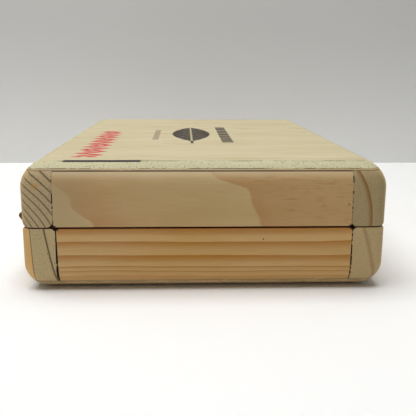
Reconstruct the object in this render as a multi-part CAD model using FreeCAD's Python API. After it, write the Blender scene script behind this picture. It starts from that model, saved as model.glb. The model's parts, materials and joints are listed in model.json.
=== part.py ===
"""Hinged wooden box that holds a wooden jigsaw puzzle.

The box is two shallow trays of pine rails and plywood, one the base and one the lid. Two aged brass
hinges join their left sides. On the right side a flat hook on the base swings up under the head
of a peg on the lid, and hangs straight down when it isn't in use. The puzzle lies on the floor of
the base as one layer of interlocking pieces, each of which lifts straight out.

Units are millimetres. The frame stands on the floor under the middle of the closed box: X runs
across it from the hinges to the latch, Y along it and Z up. The function nodes() at the end names
the file that each solid goes to.
"""
import FreeCAD
import Part

import math
import os

V = FreeCAD.Vector

# ---- driving dimensions ---------------------------------------------------------------------
WIDTH = 150.0            # across the box, hinge side to latch side
LENGTH = 220.0           # along the box
BOARD = 4.0              # three-ply board of the lid and of the floor
RAIL_HEIGHT = 22.8       # one rail, upright
END_RAIL = 14.2          # thickness of the four end rails
SIDE_RAIL = {            # thickness of each side rail, which is planed by hand
    "base_left": 14.4, "base_right": 14.4, "lid_left": 13.5, "lid_right": 14.9}
SEAM_GAP = 0.4           # slit between the closed halves
ROUND_OVER = 11.0        # radius along the top and bottom outer edges
CORNER = 6.1             # radius of the four upright outer corners
SIDE_ARRIS = {           # rounding of a side rail's two edges at the seam
    "base_left": 2.0, "base_right": 2.0, "lid_left": 3.0, "lid_right": 2.0}
END_ARRIS = 0.8          # rounding of an end rail's two edges at the seam

HEIGHT = 2 * (BOARD + RAIL_HEIGHT) + SEAM_GAP
SEAM = HEIGHT / 2
BASE_RIM = SEAM - SEAM_GAP / 2
LID_RIM = SEAM + SEAM_GAP / 2

SHEET = 0.8              # brass sheet of the hinge leaves and latch plates
PLATE_HOLE_GAP = 0.12    # between a screw's shank and its hole in a plate

HINGE_LENGTH = 20.0
HINGE_INSET = 15.0       # from the end of the box to the near end of its hinge
HINGE_STAND_OFF = 2.3    # hinge axis to the side of the box
HINGE_RISE = 1.9         # hinge axis above the middle of the seam
KNUCKLE = 1.5            # outer radius of a knuckle
KNUCKLES = 5             # the base leaf has the odd ones and the lid leaf the even ones
KNUCKLE_GAP = 0.15
PIN = 0.7                # radius of the hinge pin
PIN_HEAD = (1.1, 0.5)    # radius and thickness of the pin's two heads
RUNNING = 0.05           # radial clearance round a pin
LEAF_START = {           # from the axis to the plate, which begins clear of the seam's rounding
    "lid": 1.9, "base": 4.4}
LEAF_HEIGHT = 8.2

SCREW_HEAD = 1.7         # radius of a screw's head
SCREW_DOME = 0.75        # height of the head
SCREW_SHANK = 0.85
SCREW_LENGTH = 8.0       # from under the head to the tip
SCREW_CLEARANCE = 0.03   # between the shank and the hole that it cuts in the rail
SCREW_POINT = 2.0        # length of the tapered tip
SCREW_CROSS = (1.0, 0.2, 0.4)    # half the length and half the width of the cross, and its depth

PIVOT_DROP = 7.5         # hook's pivot below the seam
PEG_RISE = 5.3           # peg above the seam
PIVOT_SHANK = 1.0
PEG_SHANK = 1.1
RIVET_HEAD = 2.0         # radius of the pivot's and the peg's heads
RIVET_DOME = 0.6         # thickness of those heads
PIVOT_SHOULDER = 1.9     # radius of the collar that keeps the hook off its plate
PEG_SHOULDER = 1.6       # radius of the collar at the foot of the peg
LID_SCREW_RISE = 1.2     # lid plate's screws above its peg, clear of the hook
HOOK_SHEET = 0.9
HOOK_STAND_OFF = 1.9     # back of the hook to the side of the box, past the screws' heads
HOOK_PLAY = 0.1          # in front of the hook, under the pivot's head
HOOK_EYE = 2.7           # outer radius of the hook round its pivot
HOOK_END = 3.2           # outer radius of the hook round the peg
HOOK_ARM = 3.4           # width of the arm between them
HOOK_TAB = 1.5           # radius of the finger tab past the hook's end
SLOT_CLEARANCE = 0.3     # round the peg in the hook's slot

COLUMNS = 5              # puzzle pieces across the box
ROWS = 7                 # and along it
PUZZLE_MARGIN = 1.3      # between the puzzle and the walls of the base
PIECE_THICKNESS = 5.0
PIECE_LIFT = 0.1         # the pieces lie this far off the floor, so no faces touch
KERF = 0.26              # width of the saw cut between two pieces
TAB_HEAD = 3.1           # radius of a tab's round head
TAB_NECK = 1.4           # radius of the fillets on both sides of its neck
TAB_REACH = 3.8          # from the cut line to the middle of the head
TAB_WANDER = 1.5         # how far a tab may sit from the middle of its side


# ---- small helpers --------------------------------------------------------------------------
def block(x0, x1, y0, y1, z0, z1):
    """A square-edged box between two corners."""
    return Part.makeBox(x1 - x0, y1 - y0, z1 - z0, V(x0, y0, z0))


def rod_along_y(x, y0, y1, z, radius):
    """A round bar along Y."""
    return Part.makeCylinder(radius, y1 - y0, V(x, y0, z), V(0, 1, 0))


def rounded_outline(u0, u1, v0, v1, radii):
    """Edges of a rectangle with a radius at each corner, counter-clockwise from (u0, v0)."""
    corners = [(u0, v0, 180), (u1, v0, 270), (u1, v1, 0), (u0, v1, 90)]
    signs = [(1, 1), (-1, 1), (-1, -1), (1, -1)]
    starts, ends, middles = [], [], []
    for (u, v, first), (su, sv), r in zip(corners, signs, radii):
        cu, cv = u + su * r, v + sv * r
        turn = [math.radians(first + step) for step in (0, 45, 90)]
        points = [V(cu + r * math.cos(a), cv + r * math.sin(a), 0) for a in turn]
        starts.append(points[0])
        middles.append(points[1])
        ends.append(points[2])
    edges = []
    for i in range(4):
        if radii[i] > 0:
            edges.append(Part.Arc(starts[i], middles[i], ends[i]).toShape())
        edges.append(Part.LineSegment(ends[i], starts[(i + 1) % 4]).toShape())
    return edges


def prism(edges, depth):
    """The flat outline made solid, from z 0 up to depth."""
    return Part.Face(Part.Wire(edges)).extrude(V(0, 0, depth))


def section_along_y(x0, x1, z0, z1, radii, y0, y1):
    """A bar along Y whose section in X and Z has those corner radii, from (x0, z0) round."""
    bar = prism(rounded_outline(x0, x1, z0, z1, radii), y1 - y0)
    bar.rotate(V(0, 0, 0), V(1, 0, 0), 90)
    bar.translate(V(0, y1, 0))
    return bar


def section_along_x(y0, y1, z0, z1, radii, x0, x1):
    """A bar along X whose section in Y and Z has those corner radii, from (y0, z0) round."""
    bar = prism(rounded_outline(y0, y1, z0, z1, radii), x1 - x0)
    bar.rotate(V(0, 0, 0), V(1, 1, 1), 120)
    bar.translate(V(x0, 0, 0))
    return bar


# ---- the two trays --------------------------------------------------------------------------
def envelope():
    """The closed box as one solid: upright corners, then the round-over along top and bottom."""
    half_w, half_l = WIDTH / 2, LENGTH / 2
    box = block(-half_w, half_w, -half_l, half_l, 0, HEIGHT)
    upright = [edge for edge in box.Edges if edge.BoundBox.ZLength > HEIGHT / 2]
    box = box.makeFillet(CORNER, upright)
    level = [edge for edge in box.Edges if edge.BoundBox.ZLength < HEIGHT / 2]
    return box.makeFillet(ROUND_OVER, level)


def tray(half, outer, screws):
    """The four rails and the board of one half, with the screws' holes cut in the side rails."""
    half_w, half_l = WIDTH / 2, LENGTH / 2
    left, right = half + "_left", half + "_right"
    if half == "base":
        z0, z1 = BOARD, BASE_RIM
        board = block(-half_w, half_w, -half_l, half_l, 0, BOARD)
    else:
        z0, z1 = LID_RIM, HEIGHT - BOARD
        board = block(-half_w, half_w, -half_l, half_l, HEIGHT - BOARD, HEIGHT)

    def radii(arris):
        return [0, 0, arris, arris] if half == "base" else [arris, arris, 0, 0]

    inner_left, inner_right = SIDE_RAIL[left] - half_w, half_w - SIDE_RAIL[right]
    parts = {
        "left_rail": section_along_y(-half_w, inner_left, z0, z1, radii(SIDE_ARRIS[left]),
                                     -half_l, half_l),
        "right_rail": section_along_y(inner_right, half_w, z0, z1, radii(SIDE_ARRIS[right]),
                                      -half_l, half_l),
        "front_rail": section_along_x(-half_l, END_RAIL - half_l, z0, z1, radii(END_ARRIS),
                                      inner_left, inner_right),
        "rear_rail": section_along_x(half_l - END_RAIL, half_l, z0, z1, radii(END_ARRIS),
                                     inner_left, inner_right),
        "board": board}
    shaped = {half + "_" + name: shape.common(outer) for name, shape in parts.items()}
    for side in ("_left_rail", "_right_rail"):
        for place in screws:
            hole = screw_hole(*place)
            if hole.BoundBox.intersect(shaped[half + side].BoundBox):
                shaped[half + side] = shaped[half + side].cut(hole)
    return shaped


# ---- screws ---------------------------------------------------------------------------------
def screw(y, z, side):
    """A small cross-head screw through a plate on the left (side -1) or right (+1) of the box."""
    dome_radius = (SCREW_HEAD ** 2 + SCREW_DOME ** 2) / (2 * SCREW_DOME)
    ball = Part.makeSphere(dome_radius, V(SCREW_DOME - dome_radius, 0, 0))
    head = ball.common(block(0, SCREW_DOME, -SCREW_HEAD, SCREW_HEAD, -SCREW_HEAD, SCREW_HEAD))
    long, wide, depth = SCREW_CROSS
    deep = SCREW_DOME - depth
    cross = block(deep, SCREW_DOME, -long, long, -wide, wide)
    cross = cross.fuse(block(deep, SCREW_DOME, -wide, wide, -long, long))
    straight = SCREW_LENGTH - SCREW_POINT
    shank = Part.makeCylinder(SCREW_SHANK, straight, V(0, 0, 0), V(-1, 0, 0))
    point = Part.makeCone(SCREW_SHANK, 0.1, SCREW_POINT, V(-straight, 0, 0), V(-1, 0, 0))
    body = head.fuse([shank, point]).removeSplitter().cut(cross)
    if side < 0:
        body.rotate(V(0, 0, 0), V(0, 0, 1), 180)
    body.translate(V(side * (WIDTH / 2 + SHEET), y, z))
    return body


def screw_hole(y, z, side):
    """The hole that the screw fills in the rail, from just outside the rail's face inwards."""
    radius = SCREW_SHANK + SCREW_CLEARANCE
    start = V(side * (WIDTH / 2 + SHEET), y, z)
    return Part.makeCylinder(radius, SCREW_LENGTH + 0.1, start, V(-side, 0, 0))


def plate_hole(y, z, side):
    """The clearance hole for a screw in a plate on the side of the box."""
    start = V(side * (WIDTH / 2 - SHEET), y, z)
    return Part.makeCylinder(SCREW_SHANK + PLATE_HOLE_GAP, 3 * SHEET, start, V(side, 0, 0))


# ---- hinges ---------------------------------------------------------------------------------
HINGE_X = -WIDTH / 2 - HINGE_STAND_OFF
HINGE_Z = SEAM + HINGE_RISE
HINGE_STARTS = {"front": HINGE_INSET - LENGTH / 2, "rear": LENGTH / 2 - HINGE_INSET - HINGE_LENGTH}
LEAF_SCREW_INSET = 4.2   # from a leaf's ends to its screws
LEAF_SCREW_UP = 0.55     # share of a leaf's height at which they sit
LEAF_ROUND = [0.3, 1.6]  # corners of a leaf beside its knuckles, and at its free edge


def leaf_screws(half):
    """Places of the screws in the lid's leaves or in the base's."""
    up = 1 if half == "lid" else -1
    z = HINGE_Z + up * (LEAF_START[half] + LEAF_SCREW_UP * LEAF_HEIGHT)
    return [(start + along, z, -1)
            for start in HINGE_STARTS.values()
            for along in (LEAF_SCREW_INSET, HINGE_LENGTH - LEAF_SCREW_INSET)]


def knuckle_spans(start):
    """The start and end along Y of each knuckle of a hinge."""
    length = (HINGE_LENGTH - (KNUCKLES - 1) * KNUCKLE_GAP) / KNUCKLES
    pitch = length + KNUCKLE_GAP
    return [(start + i * pitch, start + i * pitch + length) for i in range(KNUCKLES)]


def rolled_knuckle(y0, y1, half):
    """One knuckle with the strip of sheet that rolls out of its leaf and round it."""
    up = 1 if half == "lid" else -1
    face = -WIDTH / 2
    joined = LEAF_START[half] + 0.3
    lean = KNUCKLE * math.sqrt(0.5)
    outline = [(face, joined), (face - SHEET, joined), (HINGE_X - lean, lean), (HINGE_X, 0)]
    if half == "lid":
        outline.append((face, 0.4))
    else:
        outline.append((HINGE_X + lean, 1.0))
        outline.append((face, LEAF_START[half] - 0.6))
    points = [V(x, y0, HINGE_Z + up * z) for x, z in outline]
    strip = Part.Face(Part.makePolygon(points + points[:1])).extrude(V(0, y1 - y0, 0))
    return strip.fuse(rod_along_y(HINGE_X, y0, y1, HINGE_Z, KNUCKLE))


def leaf(start, half):
    """A hinge leaf: the plate on the rail, with rounded corners, and its knuckles."""
    face = -WIDTH / 2
    low = LEAF_START[half]
    high = low + LEAF_HEIGHT
    near, far = LEAF_ROUND
    if half == "lid":
        z0, z1, radii = HINGE_Z + low, HINGE_Z + high, [near, near, far, far]
        spans, bore_radius = knuckle_spans(start)[1::2], PIN + RUNNING
    else:
        z0, z1, radii = HINGE_Z - high, HINGE_Z - low, [far, far, near, near]
        spans, bore_radius = knuckle_spans(start)[0::2], PIN
    shape = section_along_x(start, start + HINGE_LENGTH, z0, z1, radii, face - SHEET, face)
    for y0, y1 in spans:
        shape = shape.fuse(rolled_knuckle(y0, y1, half))
    shape = shape.cut(rod_along_y(HINGE_X, start - 1, start + HINGE_LENGTH + 1, HINGE_Z, bore_radius))
    for place in leaf_screws(half):
        shape = shape.cut(plate_hole(*place))
    return shape.removeSplitter()


def hinge_pin(start):
    """The pin, tight in the base's knuckles, with a low head against each end one."""
    end = start + HINGE_LENGTH
    head, thick = PIN_HEAD
    pin = rod_along_y(HINGE_X, start, end, HINGE_Z, PIN)
    heads = [rod_along_y(HINGE_X, y, y + thick, HINGE_Z, head) for y in (start - thick, end)]
    return pin.fuse(heads).removeSplitter()


# ---- latch ----------------------------------------------------------------------------------
SIDE_FACE = WIDTH / 2
PIVOT_Z = SEAM - PIVOT_DROP
PEG_Z = SEAM + PEG_RISE
HOOK_REACH = PEG_Z - PIVOT_Z
HOOK_FRONT = HOOK_STAND_OFF + HOOK_SHEET
PLATE_HALF = 8.5         # half the length of each latch plate along the box
PLATE_SCREW = 5.8        # from the middle of a plate to its screws
PLATE_CORNER = 2.2
PLATE_SPAN = {           # from its stud down to a plate's lower edge, and up to its upper one
    "base": (5.0, 4.5), "lid": (2.9, 5.6)}
BASE_LATCH_SCREWS = [(side * PLATE_SCREW, PIVOT_Z, 1) for side in (-1, 1)]
LID_LATCH_SCREWS = [(side * PLATE_SCREW, PEG_Z + LID_SCREW_RISE, 1) for side in (-1, 1)]


def stud_along_x(z, x0, x1, radius):
    """A round bar along X in the middle of the latch, measured out from the side of the box."""
    return Part.makeCylinder(radius, x1 - x0, V(SIDE_FACE + x0, 0, z), V(1, 0, 0))


def latch_plate(half, stud_z, stud_radius, screws):
    """A plate on the side of the box, bored for its stud and its two screws."""
    below, above = PLATE_SPAN[half]
    shape = section_along_x(-PLATE_HALF, PLATE_HALF, stud_z - below, stud_z + above,
                            [PLATE_CORNER] * 4, SIDE_FACE, SIDE_FACE + SHEET)
    shape = shape.cut(stud_along_x(stud_z, -1, 2 * SHEET, stud_radius))
    for place in screws:
        shape = shape.cut(plate_hole(*place))
    return shape.removeSplitter()


def stud(z, shank, shoulder, neck, head_start):
    """A stud riveted in its plate: a shoulder, a shank that the hook works on and a domed head."""
    dome_radius = (RIVET_HEAD ** 2 + RIVET_DOME ** 2) / (2 * RIVET_DOME)
    ball = Part.makeSphere(dome_radius, V(SIDE_FACE + head_start + RIVET_DOME - dome_radius, 0, z))
    head = ball.common(stud_along_x(z, head_start, head_start + RIVET_DOME, RIVET_HEAD + 1))
    parts = [stud_along_x(z, SHEET, neck, shoulder), stud_along_x(z, 0, head_start, shank)]
    return head.fuse(parts).removeSplitter()


def latch_pivot():
    """The stud that the hook turns on. Its shoulder holds the hook clear of the screws."""
    return stud(PIVOT_Z, PIVOT_SHANK, PIVOT_SHOULDER, HOOK_STAND_OFF - HOOK_PLAY,
                HOOK_FRONT + HOOK_PLAY)


def latch_peg():
    """The stud on the lid that the hook catches, with room under its head."""
    room = 3 * HOOK_PLAY
    return stud(PEG_Z, PEG_SHANK, PEG_SHOULDER, HOOK_STAND_OFF - room, HOOK_FRONT + room)


def latch_hook():
    """The hook as it hangs: an eye on the pivot, an arm, and a slotted end with a finger tab.

    The slot follows the circle that the peg makes round the pivot, and its mouth is on the side
    that leads as the hook swings up.
    """
    peg_z = PIVOT_Z - HOOK_REACH
    tab_z = peg_z - HOOK_END
    shape = stud_along_x(PIVOT_Z, HOOK_STAND_OFF, HOOK_FRONT, HOOK_EYE)
    arm = block(SIDE_FACE + HOOK_STAND_OFF, SIDE_FACE + HOOK_FRONT,
                -HOOK_ARM / 2, HOOK_ARM / 2, peg_z, PIVOT_Z)
    end = stud_along_x(peg_z, HOOK_STAND_OFF, HOOK_FRONT, HOOK_END)
    tab = stud_along_x(tab_z, HOOK_STAND_OFF, HOOK_FRONT, HOOK_TAB)
    shape = shape.fuse([arm, end, tab]).removeSplitter()
    half_slot = PEG_SHANK + SLOT_CLEARANCE
    ring = stud_along_x(PIVOT_Z, 0, 2 * HOOK_FRONT, HOOK_REACH + half_slot)
    ring = ring.cut(stud_along_x(PIVOT_Z, 0, 2 * HOOK_FRONT, HOOK_REACH - half_slot))
    past = HOOK_END + 1
    mouth = block(SIDE_FACE, SIDE_FACE + 2 * HOOK_FRONT, 0, past, peg_z - past, peg_z + past)
    slot = ring.common(mouth).fuse(stud_along_x(peg_z, 0, 2 * HOOK_FRONT, half_slot))
    bore = stud_along_x(PIVOT_Z, 0, 2 * HOOK_FRONT, PIVOT_SHANK + RUNNING)
    return shape.cut(slot).cut(bore).removeSplitter()


# ---- jigsaw ---------------------------------------------------------------------------------
def puzzle_area():
    """West, east, south and north edge of the puzzle on the floor of the base."""
    west = SIDE_RAIL["base_left"] - WIDTH / 2 + PUZZLE_MARGIN
    east = WIDTH / 2 - SIDE_RAIL["base_right"] - PUZZLE_MARGIN
    north = LENGTH / 2 - END_RAIL - PUZZLE_MARGIN
    return west, east, -north, north


def cut_shape(upright, column, row):
    """Tab of one cut: which way it points (+1 is east or north) and how far it sits off the middle."""
    points = 1 if math.sin(5.3 * column + 3.1 * row + 2.2 * upright) > 0 else -1
    phase = 2.4 * column + 1.7 * row + 3.1 * upright
    return points, TAB_WANDER * math.sin(phase)


def tabbed_side(start, along, length, left, shift, bulge, inset):
    """Edges of one side of a piece, whose inside is on the left of the way the side runs.

    start is the piece's corner on the cut line and along the way the side runs. bulge is +1
    where the tab bulges into the piece, -1 where it bulges out of it, and 0 where it is plain.
    inset is how far the piece's edge stands back from the cut line.
    """
    def at(u, v):
        return start + along * u + left * v

    first, last = at(inset, inset), at(length - inset, inset)
    if bulge == 0:
        return [Part.LineSegment(first, last).toShape()]
    middle = length / 2 + shift
    fillet = TAB_NECK - bulge * inset
    head = TAB_HEAD + bulge * inset
    spread = math.sqrt((TAB_HEAD + TAB_NECK) ** 2 - (TAB_REACH - TAB_NECK) ** 2)
    meet = math.atan2(TAB_REACH - TAB_NECK, spread)

    def on_circle(u, v, radius, angle):
        return at(u + radius * math.cos(angle), bulge * (v + radius * math.sin(angle)))

    near, far = middle - spread, middle + spread
    down, up = -math.pi / 2, math.pi / 2
    neck_in = [on_circle(near, TAB_NECK, fillet, a) for a in (down, (down + meet) / 2, meet)]
    top = on_circle(middle, TAB_REACH, head, up)
    neck_out = [on_circle(far, TAB_NECK, fillet, math.pi - a)
                for a in (meet, (down + meet) / 2, down)]
    return [Part.LineSegment(first, neck_in[0]).toShape(),
            Part.Arc(*neck_in).toShape(),
            Part.Arc(neck_in[2], top, neck_out[0]).toShape(),
            Part.Arc(*neck_out).toShape(),
            Part.LineSegment(neck_out[2], last).toShape()]


def puzzle_piece(column, row):
    """One jigsaw piece, counted from the south-west corner."""
    west, east, south, north = puzzle_area()
    wide, long = (east - west) / COLUMNS, (north - south) / ROWS
    x0, y0 = west + column * wide, south + row * long
    x1, y1 = x0 + wide, y0 + long
    inset = KERF / 2
    right, up = V(1, 0, 0), V(0, 1, 0)
    sides = [  # corner, way it runs, length, way in, cut (upright, column, row), is a cut
        (V(x0, y0, 0), right, wide, up, (0, column, row), row > 0),
        (V(x1, y0, 0), up, long, -right, (1, column + 1, row), column < COLUMNS - 1),
        (V(x1, y1, 0), -right, wide, -up, (0, column, row + 1), row < ROWS - 1),
        (V(x0, y1, 0), -up, long, right, (1, column, row), column > 0)]
    edges = []
    for corner, along, length, inward, cut, is_cut in sides:
        points, shift = cut_shape(*cut)
        way = V(0, points, 0) if cut[0] == 0 else V(points, 0, 0)
        bulge = (1 if way.dot(inward) > 0 else -1) if is_cut else 0
        forward = 1 if along.x + along.y > 0 else -1
        edges += tabbed_side(corner, along, length, inward, forward * shift, bulge, inset)
    piece = prism(edges, PIECE_THICKNESS)
    piece.translate(V(0, 0, BOARD + PIECE_LIFT))
    return piece


# ---- nodes ----------------------------------------------------------------------------------
def nodes():
    """Every node's name and solids."""
    outer = envelope()
    lid_screws, base_screws = leaf_screws("lid"), leaf_screws("base")
    found = {}
    found.update(tray("base", outer, base_screws + BASE_LATCH_SCREWS))
    found.update(tray("lid", outer, lid_screws + LID_LATCH_SCREWS))
    for name, start in HINGE_STARTS.items():
        found[name + "_hinge_lid_leaf"] = leaf(start, "lid")
        found[name + "_hinge_base_leaf"] = leaf(start, "base")
        found[name + "_hinge_pin"] = hinge_pin(start)
    found["hinge_lid_screws"] = Part.makeCompound([screw(*p) for p in lid_screws])
    found["hinge_base_screws"] = Part.makeCompound([screw(*p) for p in base_screws])
    found["latch_base_plate"] = latch_plate("base", PIVOT_Z, PIVOT_SHANK, BASE_LATCH_SCREWS)
    found["latch_lid_plate"] = latch_plate("lid", PEG_Z, PEG_SHANK, LID_LATCH_SCREWS)
    found["latch_pivot"] = latch_pivot()
    found["latch_peg"] = latch_peg()
    found["latch_hook"] = latch_hook()
    found["latch_base_screws"] = Part.makeCompound([screw(*p) for p in BASE_LATCH_SCREWS])
    found["latch_lid_screws"] = Part.makeCompound([screw(*p) for p in LID_LATCH_SCREWS])
    for row in range(ROWS):
        for column in range(COLUMNS):
            found[f"puzzle_piece_r{row + 1}c{column + 1}"] = puzzle_piece(column, row)
    return found


os.makedirs("parts", exist_ok=True)
for name, shape in nodes().items():
    if not shape.isValid() or min(s.Volume for s in shape.Solids) <= 0:
        raise ValueError(name + " is not a valid solid")
    shape.exportStep("parts/" + name + ".step")
    print(f"{name}: {len(shape.Solids)} solids, {shape.Volume:.1f} mm3")
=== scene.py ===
import json
import math

import bmesh
import bpy
from mathutils import Matrix, Vector


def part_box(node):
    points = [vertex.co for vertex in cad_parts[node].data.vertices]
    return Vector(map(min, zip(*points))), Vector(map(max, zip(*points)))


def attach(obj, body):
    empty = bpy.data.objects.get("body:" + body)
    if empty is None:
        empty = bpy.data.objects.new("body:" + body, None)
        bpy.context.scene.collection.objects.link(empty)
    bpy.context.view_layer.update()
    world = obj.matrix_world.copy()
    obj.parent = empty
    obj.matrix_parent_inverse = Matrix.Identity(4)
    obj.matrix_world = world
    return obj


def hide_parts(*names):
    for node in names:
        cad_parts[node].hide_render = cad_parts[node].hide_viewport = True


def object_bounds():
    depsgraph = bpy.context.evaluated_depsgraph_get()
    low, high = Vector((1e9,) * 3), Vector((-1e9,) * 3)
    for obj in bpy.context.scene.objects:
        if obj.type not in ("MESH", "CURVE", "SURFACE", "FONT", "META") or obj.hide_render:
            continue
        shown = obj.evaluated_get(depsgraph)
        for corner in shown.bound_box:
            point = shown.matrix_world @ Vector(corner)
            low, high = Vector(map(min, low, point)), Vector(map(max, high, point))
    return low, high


bl_info = {
    "name": "Boxed jigsaw puzzle",
    "version": (1, 0, 0),
    "blender": (4, 5, 0),
    "location": "View3D > Sidebar > Puzzle Box",
    "description": "Softwood, plywood, aged brass and sawn puzzle pieces for a hinged puzzle box",
    "category": "Object",
}

MM = 0.001
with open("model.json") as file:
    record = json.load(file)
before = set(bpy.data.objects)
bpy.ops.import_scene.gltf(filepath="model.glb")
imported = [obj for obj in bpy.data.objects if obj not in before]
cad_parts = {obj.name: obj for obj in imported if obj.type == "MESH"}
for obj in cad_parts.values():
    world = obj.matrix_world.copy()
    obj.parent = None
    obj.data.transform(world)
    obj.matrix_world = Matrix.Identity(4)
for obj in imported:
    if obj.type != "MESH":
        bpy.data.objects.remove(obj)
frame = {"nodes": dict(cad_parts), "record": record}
BODY_OF = {node: body for body, nodes in frame["record"]["behaviour"]["bodies"].items() for node in nodes}
CAD_BOX = [list(corner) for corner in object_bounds()]
TOP = CAD_BOX[1][2] / MM
HALF_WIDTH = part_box("lid_right_rail")[1][0] / MM
HALF_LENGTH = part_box("lid_right_rail")[1][1] / MM
SEAM = (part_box("base_front_rail")[1][2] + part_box("lid_front_rail")[0][2]) / 2 / MM
SCREW_NODES = ("hinge_lid_screws", "hinge_base_screws", "latch_lid_screws", "latch_base_screws")
WELD = 0.002 * MM  # points closer than this are one
TOUCH = 0.01 * MM  # how near counts as in the same place
SCREW_REACH = 1.3 * MM  # edges this near a screw's middle belong to its hole
FLAT_WITHIN = math.radians(0.4)  # sides that meet at less than this are one face
ROUND_ABOVE = math.radians(28)  # edges that turn more than this are rounded
SHARP_ABOVE = math.radians(42)  # and past this what is left shades as a sharp edge
WORN_AT = math.radians(40)  # edges that turn outwards this much are wholly worn


def tone(red, green, blue):
    """A colour given as 0 to 255 on a screen, in the shader's linear units."""
    values = [value / 255 for value in (red, green, blue)]
    return tuple(v / 12.92 if v <= 0.04045 else ((v + 0.055) / 1.055) ** 2.4 for v in values) + (1.0,)


# ---- settings --------------------------------------------------------------------------------
def colour(label, about, value):
    return bpy.props.FloatVectorProperty(name=label, description=about, subtype="COLOR", size=4,
                                         min=0.0, max=1.0, default=value)


def length(label, about, value):
    return bpy.props.FloatProperty(name=label, description=about, subtype="DISTANCE", unit="LENGTH",
                                   min=0.0, default=value)


def share(label, about, value):
    return bpy.props.FloatProperty(name=label, description=about, subtype="FACTOR", min=0.0, max=1.0,
                                   default=value)


class TimberSettings(bpy.types.PropertyGroup):
    edge_width: length("Edge rounding", "Width of the sanded edges of a rail", 0.25 * MM)
    joint_gap: length("Joint gap", "Widest gap at the base front rail's ends", 0.55 * MM)
    lid_early: colour("Lid early wood", "Pale wood of the lid's end rails", tone(199, 173, 123))
    lid_late: colour("Lid late wood", "Warm wood along a growth line of the lid's end rails",
                     tone(182, 137, 84))
    base_early: colour("Base early wood", "Pale wood of the base's end rails", tone(211, 175, 118))
    base_late: colour("Base late wood", "Dark bands of the base's end rails", tone(177, 120, 48))
    lid_end: colour("Lid end grain", "Sawn ends of the lid's side rails", tone(185, 163, 123))
    base_end: colour("Base end grain", "Sawn ends of the base's side rails", tone(191, 169, 124))
    grey: colour("Weathered wood", "Greyer wood at the left of the lid's front rail",
                 (0.47, 0.345, 0.175, 1.0))
    # painted highlight: the paler colour near the top of the lid's front rail, where its rounded edge faces
    # the light
    rubbed: colour("Rubbed edge", "Upper edge of the lid's front rail", tone(222, 206, 170))
    strip: colour("Board strip", "Outer strip on the end of the base's left rail", tone(222, 174, 104))
    knot: colour("Knot", "Small knot in the lid's front rail", tone(150, 84, 30))
    blot: colour("Blot", "Brown blot on the end of the lid's left rail", tone(188, 136, 58))
    # painted shade: near-black standing for the shadow in the open joints, the pockets at the seam and the
    # joint under the lid's board; the dark flecks use it too
    gap_shade: colour("Joint gaps", "Open glue joints at the ends of the end rails", tone(26, 20, 18))
    end_ring: colour("End grain rings", "Growth rings on the sawn ends", tone(78, 58, 34))
    # painted shade along the seam, on the rim faces that turn into the closed halves' narrow gap
    seam_shade: colour("Shading", "Shade along the seam", tone(104, 22, 6))


class PlywoodSettings(bpy.types.PropertyGroup):
    face: colour("Face ply", "Outer ply of the boards", tone(204, 193, 158))
    floor_face: colour("Floor's face ply", "Outer ply of the floor board", tone(206, 174, 126))
    floor_core: colour("Floor's core ply", "Middle ply of the floor board", tone(212, 183, 136))
    back: colour("Back ply", "Inner ply of the boards", tone(194, 166, 120))
    core: colour("Core ply", "End grain of the middle ply", tone(203, 196, 158))
    core_side: colour("Core ply's side", "Side grain of the middle ply", tone(204, 190, 148))
    late: colour("Late wood", "Warm wood along a growth line of a ply", tone(186, 164, 118))
    face_ring: colour("Face ply's pores", "Dark pores in the outer ply", tone(120, 104, 72))
    core_ring: colour("Core ply's pores", "Dark pores in the middle ply", tone(120, 112, 84))
    glue: colour("Glue line", "Dark line between two plies", tone(78, 66, 48))
    face_depth: length("Face ply depth", "Thickness of the outer ply", 0.7 * MM)
    core_depth: length("Core depth", "Depth at which the middle ply ends", 3.2 * MM)
    # painted shade: near-black standing for the shadow inside the split
    crack: colour("Crack", "Open split along the front of the lid", tone(34, 24, 36))
    burn: colour("Burnt mark", "Branded leaf and dashes on the lid", tone(40, 26, 20))
    red: colour("Red mark", "Painted flourish on the lid", tone(200, 42, 54))


class BrassSettings(bpy.types.PropertyGroup):
    dark: colour("Patina", "Brown patina of the hinges and latch", tone(74, 56, 38))
    cloud: colour("Paler patina", "Cloudy patches of the patina", tone(104, 80, 50))
    bright: colour("Worn brass", "Metal where the patina is rubbed off", tone(178, 138, 78))
    edge_width: length("Edge rounding", "Width of the rolled edges of the metal", 0.12 * MM)


class ScrewSettings(bpy.types.PropertyGroup):
    head: length("Head radius", "Radius of a screw's head", 1.68 * MM)
    dome: length("Head height", "Height of the domed head", 0.74 * MM)
    slot: length("Cross width", "Width of the cross in the head", 0.42 * MM)
    seed: bpy.props.IntProperty(name="Seed", description="Which way each screw's cross is left",
                                default=4, min=0)


class JigsawSettings(bpy.types.PropertyGroup):
    edge_width: length("Edge rounding", "Width of the rounded upper edges of a piece", 0.3 * MM)
    sky: colour("Sky stain", "Stain of the upper part of the picture", tone(150, 180, 188))
    hill: colour("Hill stain", "Stain of the far hills", tone(112, 138, 96))
    field: colour("Field stain", "Stain of the near fields", tone(196, 158, 84))
    sun: colour("Sun stain", "Stain of the round sun", tone(214, 112, 62))
    haze: colour("Haze stain", "Stain of the sky low down", tone(206, 206, 180))
    far_hill: colour("Shaded hill stain", "Darker stain of the far hills", tone(84, 110, 84))
    furrow: colour("Furrow stain", "Darker stripes of the near fields", tone(168, 122, 66))
    stream: colour("Stream stain", "Stain of the winding stream", tone(128, 160, 170))
    early: colour("Bare wood", "Pale wood of the puzzle's ply", tone(216, 190, 146))
    late: colour("Bare late wood", "Growth lines of the puzzle's ply", tone(190, 152, 100))
    end: colour("Bare end grain", "Sawn ends of the puzzle's ply", tone(180, 150, 110))
    ring: colour("Bare pores", "Dark pores of the puzzle's ply", tone(104, 84, 56))
    burnt: colour("Burnt edge", "Sides left dark by the cut", tone(64, 42, 26))
    scorched: colour("Scorched layer", "Paler layers in the burnt sides", tone(112, 78, 48))


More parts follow.
